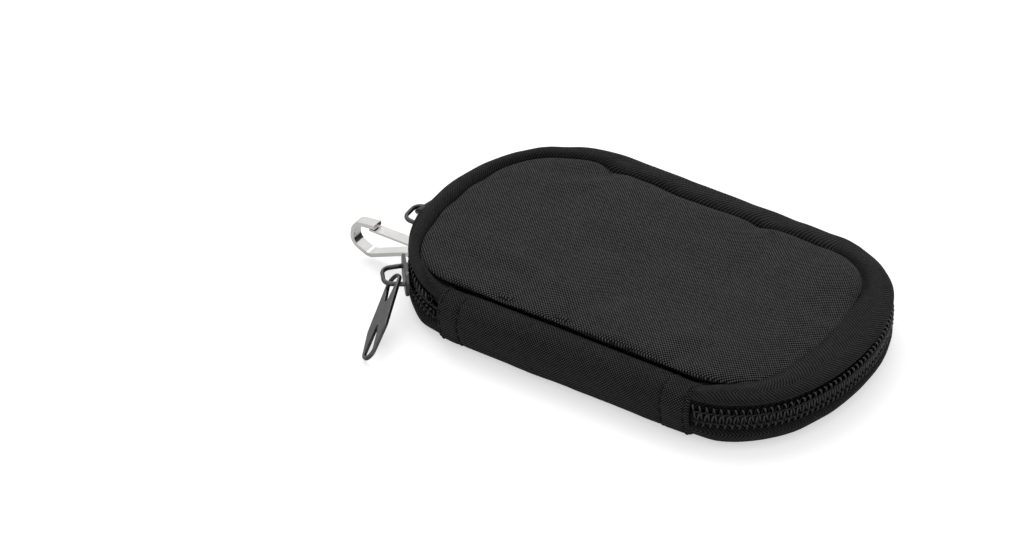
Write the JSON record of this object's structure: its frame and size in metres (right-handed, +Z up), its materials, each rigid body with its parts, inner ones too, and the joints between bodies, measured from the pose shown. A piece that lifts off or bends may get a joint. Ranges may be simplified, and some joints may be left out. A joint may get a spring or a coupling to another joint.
{
  "type": "key case",
  "caption": "Soft zip-round key case with padded panels, a hinged spine, coil zipper with sliders and pull tabs, and a swivel spring hook on an inner strap for a key.",
  "frame": {"origin": "on the table under the middle of the case's outline, in the plane that the bottom panel rests on", "axes": "+X along the case away from the hook, +Y from the spine to the zipped long side, +Z up"},
  "size_m": [0.1288, 0.0877, 0.0165],
  "materials": {
    "shell_cloth": "matte plain-woven polyester",
    "padding": "soft foam sheet",
    "lining_cloth": "thin smooth lining",
    "binding_cloth": "ribbed binding tape",
    "zipper_tape": "herringbone zipper tape",
    "zipper_coil": "semi-matte nylon coil",
    "webbing": "woven webbing",
    "slider_enamel": "gloss enamel on zinc",
    "pull_enamel": "satin enamel on zinc",
    "nickel": "bright nickel plate"
  },
  "bodies": {
    "base": {"bottom_panel": "shell_cloth", "bottom_foam": "padding", "bottom_lining": "lining_cloth", "lower_seam_binding": "binding_cloth", "lower_zipper_tape": "zipper_tape", "lower_zipper_coil": "zipper_coil", "lower_spine_panel": "shell_cloth", "hook_strap": "webbing"},
    "cover": {"top_panel": "shell_cloth", "top_foam": "padding", "top_lining": "lining_cloth", "upper_seam_binding": "binding_cloth", "upper_zipper_tape": "zipper_tape", "upper_zipper_coil": "zipper_coil", "upper_spine_panel": "shell_cloth"},
    "near_slider": {"near_slider_body": "slider_enamel", "near_slider_bail": "slider_enamel"},
    "near_pull": {"near_pull_tab": "pull_enamel"},
    "far_slider": {"far_slider_body": "slider_enamel", "far_slider_bail": "slider_enamel"},
    "far_pull": {"far_pull_tab": "pull_enamel"},
    "eye": {"swivel_eye": "nickel"},
    "hook": {"hook_frame": "nickel", "hook_barrel": "nickel"},
    "gate": {"hook_gate": "nickel"}
  },
  "joints": [
    {"name": "cover_hinge", "type": "hinge", "parent": "base", "child": "cover", "pos_m": [0, -0.03678, 0.00825], "axis": [1, 0, 0], "range_deg": [0, 150]},
    {"name": "near_slider_run", "type": "hinge", "parent": "base", "child": "near_slider", "pos_m": [-0.02601, -0.0065, 0.00825], "axis": [0, 0, 1], "range_deg": [0, 20]},
    {"name": "far_slider_run", "type": "hinge", "parent": "base", "child": "far_slider", "pos_m": [-0.01253, 0, 0.00825], "axis": [0, 0, -1], "range_deg": [0, 22]},
    {"name": "near_pull_swing", "type": "hinge", "parent": "near_slider", "child": "near_pull", "pos_m": [-0.0498, -0.0308, 0.00825], "axis": [-0.9511, -0.309, 0], "range_deg": [0, 110]},
    {"name": "far_pull_swing", "type": "hinge", "parent": "far_slider", "child": "far_pull", "pos_m": [-0.06144, -0.00094, 0.00825], "axis": [0.9925, 0.1219, 0], "range_deg": [0, 110]},
    {"name": "eye_swing", "type": "hinge", "parent": "base", "child": "eye", "pos_m": [-0.03856, -0.016, 0.00825], "axis": [0, 1, 0], "range_deg": [-2, 5]},
    {"name": "hook_swivel", "type": "hinge", "parent": "eye", "child": "hook", "pos_m": [-0.04956, -0.016, 0.00825], "axis": [1, 0, 0], "continuous": true},
    {"name": "gate_swing", "type": "hinge", "parent": "hook", "child": "gate", "pos_m": [-0.04986, -0.016, 0.00945], "axis": [0, -1, 0], "range_deg": [0, 14], "stiffness_Nm_per_rad": 0.01}
  ]
}
